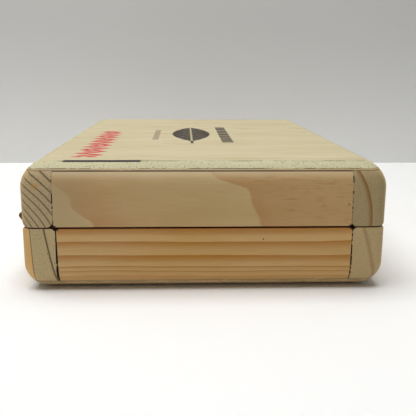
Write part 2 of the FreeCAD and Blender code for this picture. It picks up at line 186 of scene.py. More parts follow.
class StageSettings(bpy.types.PropertyGroup):
    lens: bpy.props.FloatProperty(name="Lens", description="Focal length of the camera",
                                  subtype="DISTANCE_CAMERA", unit="CAMERA", default=54.41, min=1.0)
    pitch: bpy.props.FloatProperty(name="Pitch", description="How far the camera looks down",
                                   subtype="ANGLE", unit="ROTATION", default=0.2194)
    yaw: bpy.props.FloatProperty(name="Yaw", description="How far the camera is turned right",
                                 subtype="ANGLE", unit="ROTATION", default=0.0400)
    roll: bpy.props.FloatProperty(name="Roll", description="How far the camera leans",
                                  subtype="ANGLE", unit="ROTATION", default=0.0051)
    place: bpy.props.FloatVectorProperty(name="Place", description="Where the camera stands",
                                         subtype="TRANSLATION", unit="LENGTH",
                                         default=(-0.00893, -0.3578, 0.0905))
    floor: colour("Floor", "Paint of the floor", tone(254, 254, 253))
    wall: colour("Wall", "Paint of the wall", tone(205, 205, 203))
    # painted light: the wall made paler low down, standing for the brighter light near the floor
    wall_painted_light: share("Wall paling", "How much paler the wall is low down", 0.52)
    ambient: share("Ambient light", "Strength of the even light from all round", 0.06)
    wall_distance: length("Wall distance", "From the middle of the box to the wall", 0.25)
    key_power: bpy.props.FloatProperty(name="Overhead power", description="Power of the soft top light",
                                       subtype="POWER", unit="POWER", default=14.9, min=0.0)
    fill_power: bpy.props.FloatProperty(name="Front power", description="Power of the front light",
                                        subtype="POWER", unit="POWER", default=0.93, min=0.0)


# ---- marks, growth rings and bands, in millimetres -------------------------------------------
# marks on the lid's top, across (X) and along (Y) the box
LEAF_MIDDLE = (-4.5, -1.0)
LEAF_HALF = (10.5, 38.0)
LEAF_VEIN = 9.0
STALK_HALF = (0.6, 5.0)
DASH_LINES = [  # middle, half width, pitch, filled share, first, last, strength
    (13.6, 2.7, 9.3, 0.80, -43.0, 39.0, 1.0),
    (-23.5, 1.4, 4.1, 0.62, -31.0, 20.0, 0.66)]
FLOURISH = (-49.4, -96.0, 12.0)  # middle, first, last
FLOURISH_HALF = 1.7
FLOURISH_WAVES = [(11.5, 4.6, 0.4), (7.3, 2.6, 1.9)]  # length, swing, shift

# the round sun of the puzzle's picture
SUN_MIDDLE = (22.0, 52.0)
SUN_RADIUS = 17.0
SUN_RAYS = 14


def rings(across, up, spacing, late_share, **more):
    """Rings round a pith that lies across and up from the box's middle and floor, for the rings group.

    Across is X for a rail that runs along the box and Y for one that runs across it. The rings are as
    wide as spacing at the reference radius, and a crowding under 1 draws them together near the pith.
    """
    return dict(Pith=(0.0, across, up), Spacing=spacing, Late_share=late_share, **more)


RINGS = {
    "lid_left_rail": rings(-95.0, 12.0, 2.6, 0.27, Reference=38.0, Crowding=0.25, Wander=0.25,
                           Unevenness=0.35, Strength=1.15),
    "lid_right_rail": rings(28.2, 29.3, 11.0, 0.20, Reference=33.0, Offset=3.27, Wander=0.2,
                            Unevenness=0.0, Strength=1.1),
    "base_left_rail": rings(200.0, 66.0, 14.0, 0.045, Reference=267.9, Offset=11.1, Wander=0.2,
                            Unevenness=0.0, Strength=1.1),
    "base_right_rail": rings(-100.0, -30.0, 30.0, 0.04, Reference=173.9, Offset=4.0, Wander=0.3,
                             Unevenness=0.0, Strength=0.7),
    "lid_front_rail": rings(-40.0, 90.0, 9.0, 0.5, Wander=2.0, Unevenness=0.8),
    "lid_rear_rail": rings(60.0, 75.0, 8.0, 0.5, Wander=2.2, Unevenness=0.9),
    "base_front_rail": rings(-110.0, -60.0, 5.6, 0.5, Wander=0.3, Unevenness=0.3),
    "base_rear_rail": rings(90.0, -45.0, 5.0, 0.5, Wander=0.9, Unevenness=0.6),
}
FACE_PLY_RINGS = rings(30.0, -260.0, 1.1, 0.55, Reference=300.0, Wander=2.2, Unevenness=0.9,
                       Strength=0.45)
PUZZLE_PLY_RINGS = rings(40.0, -120.0, 2.1, 0.5, Reference=130.0, Wander=3.0, Unevenness=0.8,
                         Strength=0.5)

# the right rails' own colours, the others' being in the settings
RING_COLOURS = {"lid_right_rail": tone(136, 96, 48), "base_right_rail": tone(150, 116, 70)}
END_COLOURS = {"lid_right_rail": tone(168, 148, 106), "base_right_rail": tone(188, 163, 117)}

# flecks on the front faces: x and z of the middle, radius, strength, and which setting colours them
FLECKS = {
    "lid_front_rail": [(60.9, 48.6, 0.55, 1.0, "gap_shade"), (58.6, 36.5, 0.55, 0.6, "knot")],
    "base_front_rail": [(23.8, 22.1, 0.3, 1.0, "gap_shade")],
}

# strip down the end of the base's left rail, and brown blot on the end of the lid's
STRIP_WIDTH, STRIP_LEAN = 5.0, 0.05
BLOT_IN, BLOT_UP, BLOT_FLAT = 6.6, 17.2, 1.483

# painted shade in the gaps at the ends of a front rail: half width at the rim, extra towards the board
# at the left and right, and how much less broken they are at the left and right
JOINT_GAPS = {"lid": (0.18, (0.0, 0.0), (0.0, 0.0)), "base": (0.17, (0.24, 0.06), (0.16, 0.08))}

# split in the lid board's front edge, coloured dark as painted shade inside it: middle, half length, half
# height
CRACK_MIDDLE, CRACK_HALF, CRACK_OPEN = -42.0, 15.0, 0.26

# level of late wood up the front of the base, from its board at 0 to its rim at 1
BAND_STOPS = [(0.0, 0.35), (0.085, 0.45), (0.095, 0.62), (0.105, 0.10), (0.17, 0.32), (0.197, 0.85),
              (0.207, 0.12), (0.255, 0.35), (0.285, 0.92), (0.295, 0.08), (0.37, 0.30), (0.44, 0.72),
              (0.495, 1.0), (0.505, 0.02), (0.62, 0.22), (0.70, 0.70), (0.752, 1.0), (0.762, 0.02),
              (0.86, 0.16), (0.92, 0.66), (1.0, 1.0)]

# level of late wood across the front of the lid, along the contour lines from left (0) to right (1)
FLAME_STOPS = [(0.0, 0.10), (0.195, 0.02), (0.203, 1.0), (0.25, 0.70), (0.34, 0.30), (0.50, 0.16),
               (0.652, 0.02), (0.660, 0.88), (0.70, 0.66), (0.78, 0.50), (0.88, 0.42), (1.0, 0.38)]


# ---- node helpers ----------------------------------------------------------------------------
class Graph:
    """Adds nodes to a tree from left to right. A value is a number, a tuple or another node's socket."""

    def __init__(self, tree):
        self.tree = tree
        self.count = 0

    def put(self, socket, value):
        if isinstance(value, bpy.types.NodeSocket):
            self.tree.links.new(value, socket)
        elif value is not None:
            socket.default_value = value

    def node(self, kind, inputs=None, **settings):
        made = self.tree.nodes.new(kind)
        made.location = (180 * (self.count % 24), -220 * (self.count // 24))
        self.count += 1
        for name, value in settings.items():
            setattr(made, name, value)
        for name, value in (inputs or {}).items():
            self.put(made.inputs[name], value)
        return made

    def math(self, operation, a, b=None, c=None, clamp=False):
        made = self.node("ShaderNodeMath", {0: a, 1: b, 2: c}, operation=operation, use_clamp=clamp)
        return made.outputs[0]

    def add(self, a, b):
        return self.math("ADD", a, b)

    def sub(self, a, b):
        return self.math("SUBTRACT", a, b)

    def mul(self, a, b):
        return self.math("MULTIPLY", a, b)

    def high(self, a, b):
        return self.math("MAXIMUM", a, b)

    def size(self, value):
        return self.math("ABSOLUTE", value)

    def distance(self, a, b):
        """How far a point at (a, b) is from the origin."""
        return self.math("SQRT", self.add(self.mul(a, a), self.mul(b, b)))

    def shaded(self, colour, value, saturation=1.0):
        """The colour made lighter or darker, and more or less colourful."""
        return self.node("ShaderNodeHueSaturation", {"Color": colour, "Saturation": saturation,
                                                     "Value": value}).outputs[0]

    def ramp_between(self, value, low, high):
        """0 below low and 1 above high, smooth between them. Low may be the greater."""
        made = self.node("ShaderNodeMapRange", {"Value": value, "From Min": low, "From Max": high},
                         interpolation_type="SMOOTHSTEP", clamp=True)
        return made.outputs["Result"]

    def inside(self, value, half, soft):
        """1 where the value is within half of zero, falling to 0 over soft."""
        return self.ramp_between(self.size(value), self.add(half, soft), half)

    def mix(self, factor, a, b, blend="MIX"):
        made = self.tree.nodes.new("ShaderNodeMix")
        made.data_type = "RGBA"
        made.blend_type = blend
        made.location = (180 * (self.count % 24), -220 * (self.count // 24))
        self.count += 1
        self.put(made.inputs[0], factor)
        self.put(made.inputs[6], a)
        self.put(made.inputs[7], b)
        return made.outputs[2]

    def stretched(self, vector, factors):
        return self.node("ShaderNodeVectorMath", {0: vector, 1: factors}, operation="MULTIPLY").outputs[0]

    def noise(self, vector, fineness, detail=2.0, rough=0.5):
        """Noise from 0 to 1. The fineness is one number, or one each for X, Y and Z."""
        if isinstance(fineness, tuple):
            vector, fineness = self.stretched(vector, fineness), 1.0
        made = self.node("ShaderNodeTexNoise", {"Vector": vector, "Scale": fineness, "Detail": detail,
                                                "Roughness": rough})
        return made.outputs[0]

    def swing(self, vector, fineness, width, detail=2.0):
        """Noise to either side of zero, over the given width."""
        return self.mul(self.sub(self.noise(vector, fineness, detail), 0.5), width)

    def split(self, vector):
        return self.node("ShaderNodeSeparateXYZ", {0: vector}).outputs

    def joined(self, x, y, z):
        return self.node("ShaderNodeCombineXYZ", {0: x, 1: y, 2: z}).outputs[0]

    def stops(self, value, stops):
        """A ramp through (position, level) stops, straight between them."""
        made = self.node("ShaderNodeValToRGB", {0: value})
        ramp = made.color_ramp
        ramp.interpolation = "LINEAR"
        while len(ramp.elements) < len(stops):
            ramp.elements.new(0.5)
        for element, (position, level) in zip(ramp.elements, stops):
            element.position = position
            element.color = (level, level, level, 1.0)
        return made.outputs["Color"]


def new_group(name, inputs, outputs):
    """An empty shader group. Inputs are (name, kind, default) and outputs (name, kind)."""
    tree = bpy.data.node_groups.new(name, "ShaderNodeTree")
    for label, kind, value in inputs:
        socket = tree.interface.new_socket(label, in_out="INPUT", socket_type="NodeSocket" + kind)
        if value is not None:
            socket.default_value = value
    for label, kind in outputs:
        tree.interface.new_socket(label, in_out="OUTPUT", socket_type="NodeSocket" + kind)
    graph = Graph(tree)
    enter = graph.node("NodeGroupInput").outputs
    leave = graph.node("NodeGroupOutput").inputs
    return tree, graph, enter, leave


def use_group(graph, tree, **inputs):
    made = graph.node("ShaderNodeGroup", node_tree=tree)
    for name, value in inputs.items():
        graph.put(made.inputs[name.replace("_", " ")], value)
    return made.outputs


# ---- shared effects --------------------------------------------------------------------------
def make_rings_group():
    """Growth rings round a pith line that runs along the grain."""
    tree, g, enter, leave = new_group(
        "Growth rings",
        [("Grain position", "Vector", None), ("Pith", "Vector", (0.0, -60.0, 10.0)),
         ("Spacing", "Float", 3.0), ("Reference", "Float", 60.0), ("Crowding", "Float", 1.0),
         ("Offset", "Float", 0.0), ("Wander", "Float", 0.6), ("Unevenness", "Float", 0.5),
         ("Late share", "Float", 0.4), ("Strength", "Float", 1.0)],
        [("Late", "Float"), ("Tint", "Float")])
    place = g.node("ShaderNodeVectorMath", {0: enter["Grain position"], 1: enter["Pith"]},
                   operation="SUBTRACT").outputs[0]
    along, across, up = g.split(place)
    radius = g.distance(across, up)
    drift = g.add(g.swing(place, (0.011, 0.05, 0.05), 2.4), g.swing(place, (0.05, 0.35, 0.35), 0.5))
    radius = g.add(g.add(radius, enter["Offset"]), g.mul(drift, enter["Wander"]))
    relative = g.math("POWER", g.math("DIVIDE", radius, enter["Reference"]), enter["Crowding"])
    turns = g.math("DIVIDE", enter["Reference"], g.mul(enter["Spacing"], enter["Crowding"]))
    phase = g.mul(relative, turns)
    wobble = g.swing(g.joined(g.mul(phase, 0.37), 0.0, 0.0), 1.0, enter["Unevenness"], 1.0)
    phase = g.add(phase, wobble)
    within = g.math("FRACT", phase)
    rise = g.ramp_between(within, g.sub(0.95, enter["Late share"]), 0.95)
    fall = g.ramp_between(within, 1.0, 0.95)
    g.put(leave["Late"], g.mul(g.mul(rise, fall), enter["Strength"]))
    number = g.node("ShaderNodeTexWhiteNoise", {"W": g.math("FLOOR", phase)}, noise_dimensions="1D")
    g.put(leave["Tint"], number.outputs["Value"])
    return tree


def make_timber_group():
    """Colour, roughness and height of planed softwood, on its faces and on its sawn ends."""
    tree, g, enter, leave = new_group(
        "Planed softwood",
        [("Grain position", "Vector", None), ("Late", "Float", 0.0), ("Tint", "Float", 0.5),
         ("End", "Float", 0.0), ("Early colour", "Color", None), ("Late colour", "Color", None),
         ("End colour", "Color", None), ("Ring colour", "Color", None), ("Fibre", "Float", 0.5),
         ("Grey", "Float", 0.0), ("Grey colour", "Color", (0.5, 0.5, 0.5, 1.0))],
        [("Color", "Color"), ("Roughness", "Float"), ("Height", "Float")])
    place = enter["Grain position"]
    fibres = g.noise(place, (0.09, 3.0, 3.0), 3.0, 0.6)
    flecks = g.ramp_between(g.noise(place, (0.3, 5.0, 5.0), 1.0), 0.64, 0.78)
    pores = g.ramp_between(g.noise(place, (0.4, 1.5, 1.5), 1.0), 0.61, 0.71)
    mottle = g.swing(place, (0.02, 0.08, 0.08), 0.18)
    speckle = g.noise(place, (0.2, 2.0, 2.0), 4.0, 0.7)

    flat = g.mix(enter["Late"], enter["Early colour"], enter["Late colour"])
    flat = g.mix(g.mul(enter["Tint"], 0.16), flat, enter["Late colour"])
    streak = g.mul(g.sub(fibres, 0.5), g.mul(enter["Fibre"], 0.55))
    flat = g.shaded(flat, g.add(1.0, streak))
    flat = g.mix(g.mul(flecks, g.mul(enter["Fibre"], 0.22)), flat, enter["Ring colour"])
    flat = g.shaded(flat, g.add(1.0, mottle), g.sub(1.0, g.mul(mottle, 1.4)))
    flat = g.mix(g.mul(enter["Grey"], 0.8), flat, enter["Grey colour"])

    end = g.mix(g.mul(enter["Late"], 0.85), enter["End colour"], enter["Ring colour"])
    grain = g.add(1.0, g.mul(g.sub(speckle, 0.5), 0.9))
    end = g.mix(g.mul(pores, 0.55), end, enter["Ring colour"])
    end = g.shaded(end, g.add(grain, mottle))
    g.put(leave["Color"], g.mix(enter["End"], flat, end))
    g.put(leave["Roughness"], g.add(g.mul(enter["Late"], -0.07), g.add(0.60, g.mul(speckle, 0.14))))
    surface = g.add(g.mul(fibres, 0.6), g.mul(enter["Late"], 0.35))
    sawn = g.add(g.mul(speckle, 0.9), g.mul(enter["Late"], 0.3))
    g.put(leave["Height"], g.node("ShaderNodeMix", {0: enter["End"], 2: surface, 3: sawn}).outputs[0])
    return tree


def make_wear_group():
    """How far a metal edge is worn bright, from the piece's own wear attribute."""
    tree, g, enter, leave = new_group(
        "Rubbed edges", [("Position", "Vector", None), ("Wear", "Float", 0.0)],
        [("Bright", "Float"), ("Patch", "Float")])
    broken = g.noise(enter["Position"], 0.9, 4.0, 0.6)
    bright = g.mul(g.ramp_between(enter["Wear"], 0.35, 0.95), g.ramp_between(broken, 0.36, 0.62))
    rubbed = g.noise(enter["Position"], 0.22, 3.0)
    g.put(leave["Bright"], g.math("ADD", bright, g.mul(g.ramp_between(rubbed, 0.56, 0.74), 0.35), clamp=True))
    g.put(leave["Patch"], broken)
    return tree


def make_marks_group():
    """Branded leaf with two lines of dashes, and a wavy painted flourish, on the lid's top."""
    tree, g, enter, leave = new_group(
        "Lid marks", [("Position", "Vector", None)],
        [("Leaf", "Float"), ("Dashes", "Float"), ("Flourish", "Float")])
    rough = g.swing(enter["Position"], 0.55, 1.0, 3.0)
    x, y, z = g.split(enter["Position"])
    on_top = g.ramp_between(z, TOP - 0.3, TOP - 0.05)

    across, along = g.add(g.sub(x, LEAF_MIDDLE[0]), g.mul(rough, 1.2)), g.sub(y, LEAF_MIDDLE[1])
    reach = (LEAF_HALF[1] ** 2 + LEAF_HALF[0] ** 2) / (2 * LEAF_HALF[0])
    arcs = []
    for side in (-1, 1):
        off = g.sub(across, side * (reach - LEAF_HALF[0]))
        arcs.append(g.sub(reach, g.distance(off, along)))
    blade = g.ramp_between(g.math("MINIMUM", arcs[0], arcs[1]), -0.3, 0.5)
    away = g.size(across)
    vein = g.math("FRACT", g.math("DIVIDE", g.add(along, g.mul(away, 1.3)), LEAF_VEIN))
    veins = g.mul(g.ramp_between(vein, 0.13, 0.05), g.ramp_between(away, LEAF_HALF[0], 2.0))
    rib = g.ramp_between(away, 0.7, 0.35)
    blade = g.mul(blade, g.sub(1.0, g.high(g.mul(veins, 0.55), g.mul(rib, 0.8))))
    stalk = g.mul(g.inside(across, STALK_HALF[0], 0.3),
                  g.inside(g.add(along, LEAF_HALF[1] + 3.0), STALK_HALF[1], 0.5))
    char = g.math("ADD", 0.97, g.mul(rough, 0.5), clamp=True)
    g.put(leave["Leaf"], g.mul(g.mul(g.high(blade, stalk), on_top), char))

    dashes = None
    for middle, half, pitch, filled, first, last, strength in DASH_LINES:
        row = g.inside(g.add(g.sub(x, middle), g.mul(rough, 0.8)), half, 0.35)
        step = g.math("FRACT", g.math("DIVIDE", y, pitch))
        gaps = g.ramp_between(g.size(g.sub(step, 0.5)), filled / 2 + 0.04, filled / 2 - 0.04)
        span = g.inside(g.sub(y, (first + last) / 2), (last - first) / 2, 0.3)
        row = g.mul(g.mul(row, gaps), g.mul(span, strength))
        dashes = row if dashes is None else g.high(dashes, row)
    g.put(leave["Dashes"], g.mul(dashes, g.mul(on_top, char)))

    (middle, first, last), stroke = FLOURISH, None
    for wave, swing, shift in FLOURISH_WAVES:
        turn = g.math("SINE", g.add(g.mul(y, 2 * math.pi / wave), shift))
        line = g.sub(x, g.add(middle, g.mul(turn, swing)))
        made = g.inside(g.add(line, g.mul(rough, 0.8)), FLOURISH_HALF, 0.4)
        stroke = made if stroke is None else g.high(stroke, made)
    span = g.inside(g.sub(y, (first + last) / 2), (last - first) / 2, 0.6)
    dry = g.ramp_between(g.noise(enter["Position"], 0.9, 2.0), 0.24, 0.32)
    g.put(leave["Flourish"], g.mul(g.mul(stroke, span), g.mul(on_top, dry)))
    return tree


# ---- materials -------------------------------------------------------------------------------
def new_material(name):
    """Returns a material, its graph, its one Principled shader, the place in mm and the normal."""
    material = bpy.data.materials.new(name)
    material.use_nodes = True
    material.node_tree.nodes.clear()
    graph = Graph(material.node_tree)
    shader = graph.node("ShaderNodeBsdfPrincipled")
    out = graph.node("ShaderNodeOutputMaterial")
    graph.put(out.inputs["Surface"], shader.outputs[0])
    coordinates = graph.node("ShaderNodeTexCoord").outputs
    place = graph.stretched(coordinates["Object"], (1000.0, 1000.0, 1000.0))
    return material, graph, shader, place, coordinates["Normal"]


def finish_surface(graph, shader, height, distance, strength):
    bump = graph.node("ShaderNodeBump", {"Height": height, "Distance": distance, "Strength": strength})
    graph.put(shader.inputs["Normal"], bump.outputs[0])


def finish_wood(graph, shader, coloured, roughness, height, distance, strength):
    graph.put(shader.inputs["Base Color"], coloured)
    graph.put(shader.inputs["Roughness"], roughness)
    shader.inputs["Specular IOR Level"].default_value = 0.35
    finish_surface(graph, shader, height, distance, strength)


def lid_front_late(g, place):
    """Late wood of the lid's front rail: flame-shaped contour lines that lean left as they rise.

    They lean evenly with a wave in the left half, and mostly near the top in the right half.
    """
    x, y, z = g.split(place)
    up = g.math("DIVIDE", g.sub(z, SEAM), TOP - SEAM - 5.0)
    late_lean = g.add(g.mul(up, 9.0), g.mul(g.high(g.sub(up, 0.74), 0.0), 60.0))
    rightwards = g.ramp_between(x, -14.0, 16.0)
    wave = g.mul(g.math("SINE", g.mul(g.sub(up, 0.235), 4 * math.pi)), 1.3)
    early_lean = g.add(g.mul(up, 18.0), wave)
    lean = g.add(g.mul(early_lean, g.sub(1.0, rightwards)), g.mul(late_lean, rightwards))
    line = g.add(g.add(x, lean), g.swing(place, (0.05, 0.3, 0.15), 4.0))
    late = g.stops(g.math("DIVIDE", g.add(line, HALF_WIDTH), 2 * HALF_WIDTH), FLAME_STOPS)
    ripple = g.noise(place, (0.16, 1.4, 1.1), 2.0)
    ripple = g.mul(g.ramp_between(ripple, 0.56, 0.66), g.ramp_between(line, 24.0, 40.0))
    return g.math("ADD", late, g.mul(ripple, 0.35), clamp=True)


def base_front_late(g, place):
    """Late wood of the base's front rail: level bands, sharp on top, that sag and swell a little."""
    x, y, z = g.split(place)
    low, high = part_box("base_front_rail")[0][2] / MM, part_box("base_front_rail")[1][2] / MM
    sag = g.swing(place, (0.016, 0.02, 0.05), 2.2, 1.0)
    ragged = g.swing(place, (0.12, 0.3, 0.9), 0.35)
    height = g.add(z, g.add(sag, ragged))
    return g.stops(g.math("DIVIDE", g.sub(height, low), high - low), BAND_STOPS)


def painted_joint_shade(g, place, node):
    """Painted shade: broken dark gaps where a front rail meets the side rails, with a dark pocket at the
    seam, standing for the shadow in the open joints and the corner recess.
    """
    x, y, z = g.split(place)
    half = node.split("_")[0]
    wide, extra, whole = JOINT_GAPS[half]
    low = g.ramp_between(z, SEAM, 4.0)
    broken = g.noise(place, (0.05, 0.05, 0.85), 2.0)
    sides = []
    for end, corner in enumerate(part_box(half + "_front_rail")):
        off = g.sub(x, corner[0] / MM)
        least = 0.50 - whole[end]
        gap = g.inside(off, g.add(wide, g.mul(low, extra[end])), 0.12)
        gap = g.mul(gap, g.ramp_between(broken, least, least + 0.08))
        pocket = g.ramp_between(g.distance(off, g.sub(z, SEAM)), 1.5, 0.9)
        sides.append(g.high(gap, pocket))
    near_end = g.ramp_between(g.size(y), HALF_LENGTH - 3.0, HALF_LENGTH - 1.0)
    return g.mul(g.high(sides[0], sides[1]), near_end)


def painted_seam_shade(g, place, nz, node):
    """Painted shade on the outer millimetre of the rims, where the closed halves nearly touch."""
    x, y, z = g.split(place)
    rim = g.ramp_between(g.size(g.sub(z, SEAM)), 0.75, 0.25)
    facing = g.ramp_between(nz if node.startswith("base") else g.mul(nz, -1.0), 0.55, 0.92)
    from_side = g.sub(HALF_WIDTH, g.size(x))
    from_end = g.sub(HALF_LENGTH, g.size(y))
    outer = g.ramp_between(g.math("MINIMUM", from_side, from_end), 3.2, 1.2)
    return g.mul(g.mul(rim, facing), g.mul(outer, 0.9))


def front_figure(g, place, node, late):
    """Late wood and greyness of a rail, with the figure of a front rail's face drawn in."""
    x, y, z = g.split(place)
    if node == "lid_front_rail":
        face = g.ramp_between(y, -HALF_LENGTH + 6, -HALF_LENGTH + 3)
        grey = g.mul(g.ramp_between(x, -HALF_WIDTH + 34, -HALF_WIDTH + 16), 0.85)
        return g.mix(face, late, lid_front_late(g, place)), grey
    if node == "base_front_rail":
        face = g.ramp_between(y, -HALF_LENGTH + 9, -HALF_LENGTH + 5)
        return g.mix(face, late, base_front_late(g, place)), 0.0
    return late, 0.0


def front_details(g, coloured, x, z, node, timber):
    """Painted highlight on the upper edge and painted shade in the open joint under the board on the lid's
    front rail, and both rails' flecks.
    """
    if node == "lid_front_rail":
        # painted highlight: the top of the front face paler where it rounds over towards the light
        rubbed = g.mul(g.ramp_between(z, TOP - 8.0, TOP - 4.5), 0.35)
        coloured = g.mix(rubbed, coloured, tuple(timber.rubbed))
        # painted shade in the open joint under the board
        under_board = g.mul(g.inside(g.sub(z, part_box(node)[1][2] / MM), 0.24, 0.15), 0.9)
        coloured = g.mix(under_board, coloured, tuple(timber.gap_shade))
    for across, up, radius, strength, setting in FLECKS.get(node, []):
        far = g.distance(g.sub(x, across), g.sub(z, up))
        fleck = g.mul(g.ramp_between(far, radius * 1.3, radius * 0.7), strength)
        coloured = g.mix(fleck, coloured, tuple(getattr(timber, setting)))
    return coloured


def end_details(g, coloured, x, z, end, node, timber):
    """Board strip on the sawn end of the base's left rail, and brown blot on the lid's."""
    if node == "base_left_rail":
        border = g.add(x, g.add(HALF_WIDTH - STRIP_WIDTH, g.mul(z, STRIP_LEAN)))
        line = g.mul(end, g.mul(g.inside(g.sub(border, 0.2), 0.12, 0.16), 0.75))
        strip = g.mul(end, g.mul(g.ramp_between(border, 0.2, -0.3), 0.85))
        coloured = g.mix(line, coloured, tuple(timber.end_ring))
        coloured = g.mix(strip, coloured, tuple(timber.strip))
    if node == "lid_left_rail":
        blot = g.distance(g.sub(x, -HALF_WIDTH + BLOT_IN), g.mul(g.sub(z, SEAM + BLOT_UP), BLOT_FLAT))
        coloured = g.mix(g.mul(g.ramp_between(blot, 2.6, 0.4), 0.5), coloured, tuple(timber.blot))
    return coloured


def timber_material(node, groups, timber):
    """Softwood of one rail, with its own pith, so that its face grain and end grain agree."""
    side_rail = node.endswith(("left_rail", "right_rail"))
    in_lid = node.startswith("lid")
    material, g, shader, place, normal = new_material(node.replace("_", " "))
    x, y, z = g.split(place)
    nx, ny, nz = g.split(normal)
    grain_place = g.joined(y, x, z) if side_rail else place
    end = g.ramp_between(g.size(ny if side_rail else nx), 0.45, 0.80)
    grown = use_group(g, groups["rings"], Grain_position=grain_place, **RINGS[node])
    late, grey = front_figure(g, place, node, grown["Late"])
    early, dark = (timber.lid_early, timber.lid_late) if in_lid else (timber.base_early, timber.base_late)
    sawn = END_COLOURS.get(node, tuple(timber.lid_end if in_lid else timber.base_end))
    surface = use_group(g, groups["timber"], Grain_position=grain_place, Late=late, Tint=grown["Tint"],
                        End=end, Early_colour=tuple(early), Late_colour=tuple(dark), End_colour=sawn,
                        Ring_colour=RING_COLOURS.get(node, tuple(timber.end_ring)),
                        Fibre=0.5 if in_lid else 0.6, Grey=grey, Grey_colour=tuple(timber.grey))
    coloured = end_details(g, surface["Color"], x, z, end, node, timber)
    coloured = front_details(g, coloured, x, z, node, timber)
    # painted shade along the seam
    coloured = g.mix(painted_seam_shade(g, place, nz, node), coloured, tuple(timber.seam_shade))
    # painted shade in the open joints and corner pockets at the rail's ends
    coloured = g.mix(painted_joint_shade(g, place, node), coloured, tuple(timber.gap_shade))
    finish_wood(g, shader, coloured, surface["Roughness"], surface["Height"], 0.12 * MM, 0.6)
    return material


def ply_lines(g, place, depth, nz, plywood, board):
    """Broken dark lines between the plies and under the board, on its edges only."""
    broken = g.noise(place, (0.10, 0.10, 0.6), 3.0, 0.7)
    plies = g.high(g.inside(g.sub(depth, plywood.face_depth / MM), 0.05, 0.06),
                   g.inside(g.sub(depth, plywood.core_depth / MM), 0.10, 0.06))
    plies = g.mul(plies, g.ramp_between(broken, 0.40, 0.58))
    joint = g.mul(g.inside(g.sub(depth, board), 0.16, 0.12), g.ramp_between(broken, 0.28, 0.40))
    return g.mul(g.high(plies, joint), g.ramp_between(g.size(nz), 0.985, 0.965))


def plywood_material(node, groups, plywood):
    """Three plies with the grain of the middle one turned, seen in layers on the rounded edges."""
    lid = node == "lid_board"
    material, g, shader, place, normal = new_material(node.replace("_", " "))
    x, y, z = g.split(place)
    nx, ny, nz = g.split(normal)
    depth = g.sub(TOP, z) if lid else z
    depth = g.add(depth, g.swing(place, (0.06, 0.06, 0.2), 0.22))
    face_depth, core_depth = plywood.face_depth / MM, plywood.core_depth / MM
    board = (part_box(node)[1][2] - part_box(node)[0][2]) / MM
    core = g.mul(g.ramp_between(depth, face_depth - 0.03, face_depth + 0.03),
                 g.ramp_between(depth, core_depth + 0.03, core_depth - 0.03))
    faces = use_group(g, groups["rings"], Grain_position=place, **FACE_PLY_RINGS)
    past_core = g.ramp_between(depth, core_depth - 0.05, core_depth + 0.05)
    outside = g.mix(past_core, tuple(plywood.face if lid else plywood.floor_face), tuple(plywood.back))
    outer = use_group(g, groups["timber"], Grain_position=place, Late=faces["Late"], Tint=faces["Tint"],
                      End=g.ramp_between(g.size(nx), 0.55, 0.85), Early_colour=outside,
                      Late_colour=tuple(plywood.late), End_colour=tuple(plywood.core),
                      Ring_colour=tuple(plywood.face_ring), Fibre=0.42)
    inner = use_group(g, groups["timber"], Grain_position=g.joined(y, x, z), Tint=0.3,
                      End=g.ramp_between(g.size(ny), 0.10, 0.35),
                      Early_colour=tuple(plywood.core_side), Late_colour=tuple(plywood.late),
                      End_colour=tuple(plywood.core if lid else plywood.floor_core),
                      Ring_colour=tuple(plywood.core_ring), Fibre=0.6)
    coloured = g.mix(core, outer["Color"], inner["Color"])
    height = g.node("ShaderNodeMix", {0: core, 2: outer["Height"], 3: inner["Height"]}).outputs[0]

    lines = ply_lines(g, place, depth, nz, plywood, board)
    coloured = g.mix(g.mul(lines, 0.92), coloured, tuple(plywood.glue))
    height = g.sub(height, g.mul(lines, 1.6))
    if lid:
        level = g.sub(g.sub(TOP, z), face_depth + 0.02)
        along = g.inside(g.sub(x, CRACK_MIDDLE), CRACK_HALF, 1.5)
        crack = g.mul(g.inside(level, CRACK_OPEN, 0.06), g.mul(along, g.ramp_between(ny, -0.1, -0.3)))
        # painted shade inside the split
        coloured = g.mix(crack, coloured, tuple(plywood.crack))
        height = g.sub(height, g.mul(crack, 2.0))
        marks = use_group(g, groups["marks"], Position=place)
        coloured = g.mix(marks["Leaf"], coloured, tuple(plywood.burn))
        coloured = g.mix(marks["Dashes"], coloured, tuple(plywood.burn))
        coloured = g.mix(g.mul(marks["Flourish"], 0.96), coloured, tuple(plywood.red))
        height = g.sub(height, g.mul(g.add(marks["Leaf"], marks["Dashes"]), 1.2))
    finish_wood(g, shader, coloured, outer["Roughness"], height, 0.10 * MM, 0.6)
    return material


def brass_material(groups, brass):
    """Brown patina over brass, worn through on the edges."""
    material, g, shader, place, normal = new_material("aged brass")
    wear = g.node("ShaderNodeAttribute", attribute_name="wear").outputs["Fac"]
    rubbed = use_group(g, groups["wear"], Position=place, Wear=wear)
    patina = g.mix(rubbed["Patch"], tuple(brass.dark), tuple(brass.cloud))
    g.put(shader.inputs["Base Color"], g.mix(rubbed["Bright"], patina, tuple(brass.bright)))
    g.put(shader.inputs["Roughness"], g.add(0.52, g.mul(rubbed["Bright"], -0.2)))
    shader.inputs["Metallic"].default_value = 0.9
    scratches = g.noise(place, (1.2, 9.0, 1.2), 2.0)
    finish_surface(g, shader, g.add(scratches, g.mul(rubbed["Patch"], 0.6)), 0.05 * MM, 0.5)
    return material


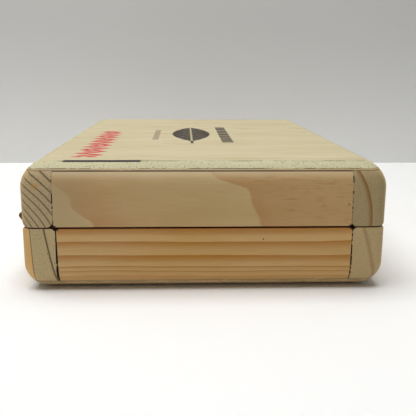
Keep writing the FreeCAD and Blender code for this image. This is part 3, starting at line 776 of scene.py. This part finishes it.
def picture(g, place, jigsaw):
    """A plain landscape of stained shapes: sky, sun, two ranges of hills and striped fields."""
    x, y, z = g.split(place)
    sky = g.mix(g.ramp_between(y, 20.0, 95.0), tuple(jigsaw.haze), tuple(jigsaw.sky))
    dx, dy = g.sub(x, SUN_MIDDLE[0]), g.sub(y, SUN_MIDDLE[1])
    far = g.distance(dx, dy)
    rays = g.math("FRACT", g.mul(g.math("ARCTAN2", dy, dx), SUN_RAYS / (2 * math.pi)))
    rays = g.mul(g.inside(g.sub(rays, 0.5), 0.22, 0.03), g.ramp_between(far, 40.0, 24.0))
    sky = g.mix(g.mul(rays, 0.35), sky, tuple(jigsaw.sun))
    sky = g.mix(g.ramp_between(far, SUN_RADIUS + 0.3, SUN_RADIUS - 0.3), sky, tuple(jigsaw.sun))
    ridge = g.add(18.0, g.add(g.mul(g.math("SINE", g.mul(x, 0.075)), 11.0),
                              g.mul(g.math("SINE", g.add(g.mul(x, 0.19), 1.1)), 3.5)))
    hills = g.mix(g.math("FRACT", g.mul(g.sub(ridge, y), 0.07)), tuple(jigsaw.hill), tuple(jigsaw.far_hill))
    scene = g.mix(g.ramp_between(g.sub(ridge, y), -0.3, 0.3), sky, hills)
    brow = g.add(-14.0, g.mul(g.math("SINE", g.add(g.mul(x, 0.045), 2.2)), 13.0))
    below = g.sub(brow, y)
    furrow = g.math("FRACT", g.mul(g.add(below, g.mul(x, 0.35)), 0.11))
    fields = g.mix(g.ramp_between(furrow, 0.47, 0.53), tuple(jigsaw.field), tuple(jigsaw.furrow))
    scene = g.mix(g.ramp_between(below, -0.3, 0.3), scene, fields)
    stream = g.sub(x, g.add(-12.0, g.mul(g.math("SINE", g.mul(y, 0.06)), 12.0)))
    wide = g.add(2.0, g.mul(g.high(below, 0.0), 0.09))
    stream = g.mul(g.ramp_between(g.sub(wide, g.size(stream)), -0.2, 0.2),
                   g.ramp_between(below, -0.3, 0.3))
    return g.mix(stream, scene, tuple(jigsaw.stream))


def jigsaw_material(groups, jigsaw):
    """Stained picture on thin ply with the grain showing through, burnt where it was cut."""
    material, g, shader, place, normal = new_material("puzzle ply")
    x, y, z = g.split(place)
    nx, ny, nz = g.split(normal)
    turned = g.joined(y, x, z)
    grown = use_group(g, groups["rings"], Grain_position=turned, **PUZZLE_PLY_RINGS)
    bare = use_group(g, groups["timber"], Grain_position=turned, Late=grown["Late"], Tint=grown["Tint"],
                     Early_colour=tuple(jigsaw.early), Late_colour=tuple(jigsaw.late),
                     End_colour=tuple(jigsaw.end), Ring_colour=tuple(jigsaw.ring), Fibre=0.6)
    tint = g.node("ShaderNodeAttribute", attribute_name="tint").outputs["Fac"]
    stained = g.mix(0.62, bare["Color"], picture(g, place, jigsaw))
    stained = g.shaded(stained, g.add(0.94, g.mul(tint, 0.12)))
    coloured = g.mix(g.ramp_between(nz, -0.2, 0.2), bare["Color"], stained)
    scorch = g.noise(place, 0.5, 3.0)
    side = g.ramp_between(g.size(nz), 0.97, 0.55)
    layers = g.ramp_between(g.size(g.sub(g.math("FRACT", g.mul(z, 0.6)), 0.5)), 0.35, 0.42)
    burnt = g.mix(g.mul(layers, 0.5), tuple(jigsaw.burnt), tuple(jigsaw.scorched))
    coloured = g.mix(g.mul(side, g.add(0.78, g.mul(scorch, 0.3))), coloured, burnt)
    finish_wood(g, shader, coloured, bare["Roughness"], bare["Height"], 0.10 * MM, 0.5)
    return material


# ---- meshes ----------------------------------------------------------------------------------
def welded(node):
    """The node's own solid as an editable shape, with its loose triangles joined at their corners."""
    shape = bmesh.new()
    shape.from_mesh(frame["nodes"][node].data)
    bmesh.ops.remove_doubles(shape, verts=shape.verts, dist=WELD)
    return shape


def screw_islands(node):
    """(y, z) of the middle and the outward side of each screw in a node of screws."""
    shape = welded(node)
    unseen, found = set(shape.verts), []
    while unseen:
        island, edge_of = [], [unseen.pop()]
        while edge_of:
            vertex = edge_of.pop()
            island.append(vertex.co.copy())
            for edge in vertex.link_edges:
                other = edge.other_vert(vertex)
                if other in unseen:
                    unseen.remove(other)
                    edge_of.append(other)
        low = Vector([min(p[i] for p in island) for i in range(3)])
        high = Vector([max(p[i] for p in island) for i in range(3)])
        middle = (low + high) / 2
        found.append((middle.y, middle.z, -1 if middle.x < 0 else 1))
    shape.free()
    return sorted(found)


def clean_shape(node):
    """The node's welded shape, with the triangles of each flat side joined into one face."""
    shape = welded(node)
    bmesh.ops.dissolve_limit(shape, angle_limit=FLAT_WITHIN, verts=shape.verts, edges=shape.edges)
    shape.normal_update()
    return shape


def plain_mesh(shape, name):
    """The shape as a mesh that holds nothing but points and faces."""
    shape.verts.index_update()
    mesh = bpy.data.meshes.new(name)
    mesh.from_pydata([v.co for v in shape.verts], [],
                     [[v.index for v in f.verts] for f in shape.faces])
    mesh.update()
    return mesh


def rounded_piece(node, name, material, width, keep_sharp=None, reshape=None, segments=2):
    """A copy of a CAD node with rounded edges, in its place, riding on the node's body.

    keep_sharp says of an edge whether it is left as it is. reshape moves the shape's own points.
    """
    shape = clean_shape(node)
    if reshape:
        reshape(shape)
        shape.normal_update()
    rounded = []
    for edge in shape.edges:
        bent = len(edge.link_faces) == 2 and edge.calc_face_angle(0.0) > ROUND_ABOVE
        rounded.append(1.0 if bent and not (keep_sharp and keep_sharp(edge)) else 0.0)
    pairs = {frozenset(v.index for v in edge.verts): weight for edge, weight in zip(shape.edges, rounded)}
    rough = plain_mesh(shape, name + "_rough")
    shape.free()
    weights = rough.attributes.new("bevel_weight_edge", "FLOAT", "EDGE")
    for edge in rough.edges:
        weights.data[edge.index].value = pairs.get(frozenset(edge.vertices), 0.0)
    piece = bpy.data.objects.new(name, rough)
    bpy.context.collection.objects.link(piece)
    bevel = piece.modifiers.new("Rounded edges", "BEVEL")
    bevel.limit_method = "WEIGHT"
    bevel.width = width
    bevel.segments = segments
    bevel.use_clamp_overlap = False
    bevel.miter_outer = "MITER_ARC"
    return settle(piece, name, material, node)


def settle(piece, name, material, node):
    """Makes the modifiers' result the piece's own plain mesh, and gives it its shading and body."""
    graph = bpy.context.evaluated_depsgraph_get()
    mesh = bpy.data.meshes.new_from_object(piece.evaluated_get(graph))
    piece.modifiers.clear()
    rough = piece.data
    piece.data = mesh
    bpy.data.meshes.remove(rough)
    mesh.name = name
    mark_wear(mesh)
    mesh.polygons.foreach_set("use_smooth", [True] * len(mesh.polygons))
    mesh.set_sharp_from_angle(angle=SHARP_ABOVE)
    weighted = piece.modifiers.new("Flat faces stay flat", "WEIGHTED_NORMAL")
    weighted.keep_sharp = True
    mesh.materials.clear()
    mesh.materials.append(material)
    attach(piece, BODY_OF[node])
    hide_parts(node)
    return piece


def mark_wear(mesh):
    """Writes how sharply the surface turns outwards at each point, 0 to 1, as the wear attribute."""
    shape = bmesh.new()
    shape.from_mesh(mesh)
    turn = [0.0] * len(shape.verts)
    for edge in shape.edges:
        if len(edge.link_faces) == 2:
            angle = edge.calc_face_angle_signed(0.0) / WORN_AT
            for vertex in edge.verts:
                turn[vertex.index] = max(turn[vertex.index], min(1.0, angle))
    shape.free()
    if "wear" in mesh.attributes:
        mesh.attributes.remove(mesh.attributes["wear"])
    mesh.attributes.new("wear", "FLOAT", "POINT").data.foreach_set("value", turn)


def shared_groups():
    """The shader groups, made once."""
    makers = {"rings": ("Growth rings", make_rings_group), "timber": ("Planed softwood", make_timber_group),
              "wear": ("Rubbed edges", make_wear_group), "marks": ("Lid marks", make_marks_group)}
    return {key: bpy.data.node_groups.get(name) or make() for key, (name, make) in makers.items()}


def brass(settings):
    return bpy.data.materials.get("aged brass") or brass_material(shared_groups(), settings)


def brass_pieces(context, nodes):
    settings = context.scene.puzzlebox_brass
    for node in nodes:
        rounded_piece(node, node + "_brass", brass(settings), settings.edge_width)


# ---- operators -------------------------------------------------------------------------------
class PUZZLEBOX_OT_rails(bpy.types.Operator):
    """Eight softwood rails with sanded edges, growth rings and end grain"""
    bl_idname = "puzzlebox.rails"
    bl_label = "Rails"

    def execute(self, context):
        timber = context.scene.puzzlebox_timber
        screws = [place for node in SCREW_NODES for place in screw_islands(node)]
        board_low, board_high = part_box("base_board")[1][2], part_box("lid_board")[0][2]

        def keep_sharp(edge):
            middle = (edge.verts[0].co + edge.verts[1].co) / 2
            glued = abs(middle.z - board_low) < TOUCH or abs(middle.z - board_high) < TOUCH
            return glued or any(max(abs(middle.y - y), abs(middle.z - z)) < SCREW_REACH
                                for y, z, side in screws)

        def open_ends(shape):
            """Draws the ends back at the face, more towards the floor, as the glue joint has opened."""
            low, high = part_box("base_front_rail")
            for vertex in shape.verts:
                if vertex.co.y > low.y + 7.0 * MM:
                    continue
                down = (high.z - vertex.co.z) / (high.z - low.z)
                for end, way, most in ((low.x, 1, timber.joint_gap), (high.x, -1, 0.6 * timber.joint_gap)):
                    if abs(vertex.co.x - end) < TOUCH:
                        vertex.co.x += way * most * (0.25 + 0.75 * down)

        for node in RINGS:
            rounded_piece(node, node + "_timber", timber_material(node, shared_groups(), timber),
                          timber.edge_width, keep_sharp, open_ends if node == "base_front_rail" else None)
        return {"FINISHED"}


class PUZZLEBOX_OT_boards(bpy.types.Operator):
    """Plywood lid with its marks, and plywood floor"""
    bl_idname = "puzzlebox.boards"
    bl_label = "Boards"

    def execute(self, context):
        plywood = context.scene.puzzlebox_plywood
        for node in ("lid_board", "base_board"):
            rounded_piece(node, node + "_plywood", plywood_material(node, shared_groups(), plywood),
                          0.1 * MM, lambda edge: True)
        return {"FINISHED"}


class PUZZLEBOX_OT_hinges(bpy.types.Operator):
    """Leaves and pins of the two hinges"""
    bl_idname = "puzzlebox.hinges"
    bl_label = "Hinges"

    def execute(self, context):
        brass_pieces(context, [f"{place}_hinge_{part}" for place in ("front", "rear")
                               for part in ("lid_leaf", "base_leaf", "pin")])
        return {"FINISHED"}


class PUZZLEBOX_OT_latch(bpy.types.Operator):
    """Plates, studs and swinging hook of the latch"""
    bl_idname = "puzzlebox.latch"
    bl_label = "Latch"

    def execute(self, context):
        brass_pieces(context, ["latch_base_plate", "latch_lid_plate", "latch_pivot", "latch_peg",
                               "latch_hook"])
        return {"FINISHED"}


class PUZZLEBOX_OT_screws(bpy.types.Operator):
    """Domed cross-head screws, turned each its own way"""
    bl_idname = "puzzlebox.screws"
    bl_label = "Screws"

    def execute(self, context):
        settings, metal = context.scene.puzzlebox_screws, brass(context.scene.puzzlebox_brass)
        tree = screw_tree()
        values = {"Head radius": settings.head, "Head height": settings.dome, "Cross width": settings.slot,
                  "Seed": settings.seed, "Material": metal}
        sockets = {item.name: item.identifier for item in tree.interface.items_tree
                   if item.item_type == "SOCKET" and item.in_out == "INPUT"}
        for node in SCREW_NODES:
            low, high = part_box(node)
            places = screw_islands(node)
            points = bpy.data.meshes.new(node + "_points")
            points.from_pydata([(0.0, y, z) for y, z, side in places], [], [])
            piece = bpy.data.objects.new(node + "_brass", points)
            context.collection.objects.link(piece)
            made = piece.modifiers.new("Screws", "NODES")
            made.node_group = tree
            side = places[0][2]
            seat = (high.x if side > 0 else -low.x) - settings.dome - TOUCH
            for name, value in dict(values, Side=float(side), Seat=seat).items():
                made[sockets[name]] = value
            settle(piece, node + "_brass", metal, node)
        return {"FINISHED"}


class PUZZLEBOX_OT_jigsaw(bpy.types.Operator):
    """The sawn puzzle pieces with one picture across them"""
    bl_idname = "puzzlebox.jigsaw"
    bl_label = "Jigsaw"

    def execute(self, context):
        settings = context.scene.puzzlebox_jigsaw
        material = jigsaw_material(shared_groups(), settings)
        for number, node in enumerate(sorted(n for n in frame["nodes"] if n.startswith("puzzle_piece"))):

            def keep_sharp(edge, top=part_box(node)[1].z):
                return min(v.co.z for v in edge.verts) < top - TOUCH

            piece = rounded_piece(node, node + "_ply", material, settings.edge_width, keep_sharp)
            tint = piece.data.attributes.new("tint", "FLOAT", "POINT")
            level = 0.5 + 0.5 * math.sin(12.9898 * number + 4.1)
            tint.data.foreach_set("value", [level] * len(piece.data.vertices))
        return {"FINISHED"}


def screw_tree():
    """Geometry nodes that stand a domed cross-head screw on each point."""
    tree = bpy.data.node_groups.get("Cross-head screws")
    if tree:
        return tree
    tree = bpy.data.node_groups.new("Cross-head screws", "GeometryNodeTree")
    for label, kind, value in (("Geometry", "Geometry", None), ("Head radius", "Float", 1.68 * MM),
                               ("Head height", "Float", 0.74 * MM), ("Cross width", "Float", 0.42 * MM),
                               ("Side", "Float", 1.0), ("Seat", "Float", 0.0758), ("Seed", "Int", 4),
                               ("Material", "Material", None)):
        socket = tree.interface.new_socket(label, in_out="INPUT", socket_type="NodeSocket" + kind)
        if value is not None:
            socket.default_value = value
    tree.interface.new_socket("Geometry", in_out="OUTPUT", socket_type="NodeSocketGeometry")
    g = Graph(tree)
    enter = g.node("NodeGroupInput").outputs
    leave = g.node("NodeGroupOutput").inputs
    radius, height, wide = enter["Head radius"], enter["Head height"], enter["Cross width"]

    def moved(geometry, x, y, z):
        return g.node("GeometryNodeTransform", {"Geometry": geometry,
                                                "Translation": g.joined(x, y, z)}).outputs[0]

    ball_radius = g.math("DIVIDE", g.add(g.mul(radius, radius), g.mul(height, height)), g.mul(height, 2.0))
    ball = g.node("GeometryNodeMeshUVSphere", {"Segments": 48, "Rings": 48, "Radius": ball_radius})
    ball = moved(ball.outputs[0], 0.0, 0.0, g.sub(height, ball_radius))
    trunk = g.node("GeometryNodeMeshCylinder", {"Vertices": 40, "Radius": radius,
                                                "Depth": g.mul(height, 2.0)})
    trunk = moved(trunk.outputs[0], 0.0, 0.0, height)
    head = g.node("GeometryNodeMeshBoolean", operation="INTERSECT", solver="EXACT")
    g.tree.links.new(ball, head.inputs["Mesh 2"])
    g.tree.links.new(trunk, head.inputs["Mesh 2"])
    cut = g.node("GeometryNodeMeshBoolean", {"Mesh 1": head.outputs[0]}, operation="DIFFERENCE",
                 solver="EXACT")
    for across in (True, False):
        sides = (g.mul(radius, 1.18), wide) if across else (wide, g.mul(radius, 1.18))
        bar = g.node("GeometryNodeMeshCube", {"Size": g.joined(sides[0], sides[1], height)})
        g.tree.links.new(moved(bar.outputs[0], 0.0, 0.0, height), cut.inputs["Mesh 2"])
    shank = g.node("GeometryNodeMeshCylinder", {"Vertices": 20, "Radius": g.mul(radius, 0.5),
                                                "Depth": g.mul(radius, 2.0)})
    shank = moved(shank.outputs[0], 0.0, 0.0, g.mul(radius, -0.99))
    screw = g.node("GeometryNodeJoinGeometry")
    g.tree.links.new(cut.outputs[0], screw.inputs[0])
    g.tree.links.new(shank, screw.inputs[0])
    seated = g.node("GeometryNodeSetPosition", {
        "Geometry": enter["Geometry"], "Offset": g.joined(g.mul(enter["Seat"], enter["Side"]), 0.0, 0.0)})
    spin = g.node("FunctionNodeRandomValue", {"Seed": enter["Seed"]}, data_type="FLOAT")
    g.put(spin.inputs[2], 0.0)
    g.put(spin.inputs[3], math.pi / 2)
    lean = g.mul(enter["Side"], math.pi / 2)
    instances = g.node("GeometryNodeInstanceOnPoints", {
        "Points": seated.outputs[0], "Instance": screw.outputs[0],
        "Rotation": g.joined(0.0, lean, 0.0)})
    turned = g.node("GeometryNodeRotateInstances", {
        "Instances": instances.outputs[0], "Rotation": g.joined(0.0, 0.0, spin.outputs[1])})
    real = g.node("GeometryNodeRealizeInstances", {"Geometry": turned.outputs[0]})
    painted = g.node("GeometryNodeSetMaterial", {"Geometry": real.outputs[0],
                                                 "Material": enter["Material"]})
    g.put(leave["Geometry"], painted.outputs[0])
    return tree


class PUZZLEBOX_OT_stage(bpy.types.Operator):
    """Pale floor, grey wall, soft lights and camera"""
    bl_idname = "puzzlebox.stage"
    bl_label = "Stage"

    def execute(self, context):
        stage = context.scene.puzzlebox_stage
        half, back, top = 3.0, stage.wall_distance, 2.0
        floor = sheet_of("floor", [(-half, -half, 0), (half, -half, 0), (half, half, 0), (-half, half, 0)],
                         stage_material("floor paint", tuple(stage.floor), 0.7, 0.0, False))
        wall = sheet_of("wall", [(-half, back, 0), (half, back, 0), (half, back, top), (-half, back, top)],
                        stage_material("wall paint", tuple(stage.wall), 0.8, stage.wall_painted_light, True))
        soft_light("overhead", place=(-0.16, 0.08, 0.95), target=(-0.04, 0.08, 0.0), size=(1.15, 0.95),
                   power=stage.key_power)
        soft_light("front", place=(0.1, -1.5, 0.45), target=(0.0, 0.0, 0.03), size=(1.8, 0.9),
                   power=stage.fill_power)
        world = bpy.data.worlds.new("studio")
        context.scene.world = world
        world.use_nodes = True
        background = world.node_tree.nodes["Background"]
        background.inputs["Color"].default_value = (1.0, 1.0, 1.0, 1.0)
        background.inputs["Strength"].default_value = stage.ambient
        context.scene.view_settings.view_transform = "Standard"

        place_camera(context, stage)
        return {"FINISHED"}


def place_camera(context, stage):
    """Stands the camera in its place, turned right, tipped down and leaned over."""
    camera = bpy.data.objects.new("camera", bpy.data.cameras.new("camera"))
    context.collection.objects.link(camera)
    camera.data.lens = stage.lens
    camera.data.sensor_width = 36.0
    camera.data.clip_start = 0.01
    sin_y, cos_y = math.sin(stage.yaw), math.cos(stage.yaw)
    sin_p, cos_p = math.sin(stage.pitch), math.cos(stage.pitch)
    forward = Vector((sin_y * cos_p, cos_y * cos_p, -sin_p))
    right = Vector((cos_y, -sin_y, 0.0))
    up = right.cross(forward)
    lean_right = math.cos(stage.roll) * right + math.sin(stage.roll) * up
    lean_up = -math.sin(stage.roll) * right + math.cos(stage.roll) * up
    turn = Matrix((lean_right, lean_up, -forward)).transposed()
    camera.matrix_world = Matrix.Translation(stage.place) @ turn.to_4x4()
    context.scene.camera = camera


def sheet_of(name, corners, material):
    mesh = bpy.data.meshes.new(name)
    mesh.from_pydata(corners, [], [(0, 1, 2, 3)])
    mesh.materials.append(material)
    made = bpy.data.objects.new(name, mesh)
    bpy.context.collection.objects.link(made)
    return made


def stage_material(name, paint, roughness, paler, see_through_back):
    """Plain matt paint with a faint mottle, with painted light that makes it paler low down. The wall's is
    clear from behind.
    """
    material, g, shader, place, normal = new_material(name)
    mottle = g.noise(place, 0.004, 2.0)
    coloured = g.shaded(paint, g.add(0.985, g.mul(mottle, 0.03)))
    x, y, z = g.split(place)
    # painted light: the wall paler towards the floor
    low = g.mul(g.ramp_between(z, 150.0, -10.0), paler)
    g.put(shader.inputs["Base Color"], g.mix(low, coloured, (1.0, 1.0, 0.97, 1.0)))
    shader.inputs["Roughness"].default_value = roughness
    shader.inputs["Specular IOR Level"].default_value = 0.2
    if see_through_back:
        behind = g.node("ShaderNodeNewGeometry").outputs["Backfacing"]
        clear = g.node("ShaderNodeBsdfTransparent")
        both = g.node("ShaderNodeMixShader", {0: behind, 1: shader.outputs[0], 2: clear.outputs[0]})
        out = next(n for n in material.node_tree.nodes if n.type == "OUTPUT_MATERIAL")
        g.put(out.inputs["Surface"], both.outputs[0])
    return material


def soft_light(name, place, target, size, power):
    data = bpy.data.lights.new(name, "AREA")
    data.shape = "RECTANGLE"
    data.size, data.size_y = size
    data.energy = power
    made = bpy.data.objects.new(name, data)
    bpy.context.collection.objects.link(made)
    made.location = place
    made.rotation_euler = (Vector(target) - Vector(place)).to_track_quat("-Z", "Y").to_euler()
    return made


class PUZZLEBOX_PT_panel(bpy.types.Panel):
    """Lists the pieces of the puzzle box"""
    bl_idname = "PUZZLEBOX_PT_panel"
    bl_label = "Puzzle box"
    bl_space_type = "VIEW_3D"
    bl_region_type = "UI"
    bl_category = "Puzzle Box"

    def draw(self, context):
        scene = context.scene
        for operator, settings in PANEL_ROWS:
            self.layout.operator(operator.bl_idname)
            group = getattr(scene, settings)
            for name in group.bl_rna.properties.keys():
                if name not in ("rna_type", "name"):
                    self.layout.prop(group, name)


PANEL_ROWS = [
    (PUZZLEBOX_OT_rails, "puzzlebox_timber"),
    (PUZZLEBOX_OT_boards, "puzzlebox_plywood"),
    (PUZZLEBOX_OT_hinges, "puzzlebox_brass"),
    (PUZZLEBOX_OT_latch, "puzzlebox_brass"),
    (PUZZLEBOX_OT_screws, "puzzlebox_screws"),
    (PUZZLEBOX_OT_jigsaw, "puzzlebox_jigsaw"),
    (PUZZLEBOX_OT_stage, "puzzlebox_stage"),
]
SETTINGS = {
    "puzzlebox_timber": TimberSettings,
    "puzzlebox_plywood": PlywoodSettings,
    "puzzlebox_brass": BrassSettings,
    "puzzlebox_screws": ScrewSettings,
    "puzzlebox_jigsaw": JigsawSettings,
    "puzzlebox_stage": StageSettings,
}
OPERATORS = [operator for operator, settings in PANEL_ROWS]


def register():
    for made in [*SETTINGS.values(), *OPERATORS, PUZZLEBOX_PT_panel]:
        bpy.utils.register_class(made)
    for name, settings in SETTINGS.items():
        setattr(bpy.types.Scene, name, bpy.props.PointerProperty(type=settings))


def unregister():
    for name in SETTINGS:
        delattr(bpy.types.Scene, name)
    for made in reversed([*SETTINGS.values(), *OPERATORS, PUZZLEBOX_PT_panel]):
        bpy.utils.unregister_class(made)


def main():
    register()
    bpy.ops.puzzlebox.rails()
    bpy.ops.puzzlebox.boards()
    bpy.ops.puzzlebox.hinges()
    bpy.ops.puzzlebox.latch()
    bpy.ops.puzzlebox.screws()
    bpy.ops.puzzlebox.jigsaw()
    bpy.ops.puzzlebox.stage()


if __name__ == "__main__":
    main()
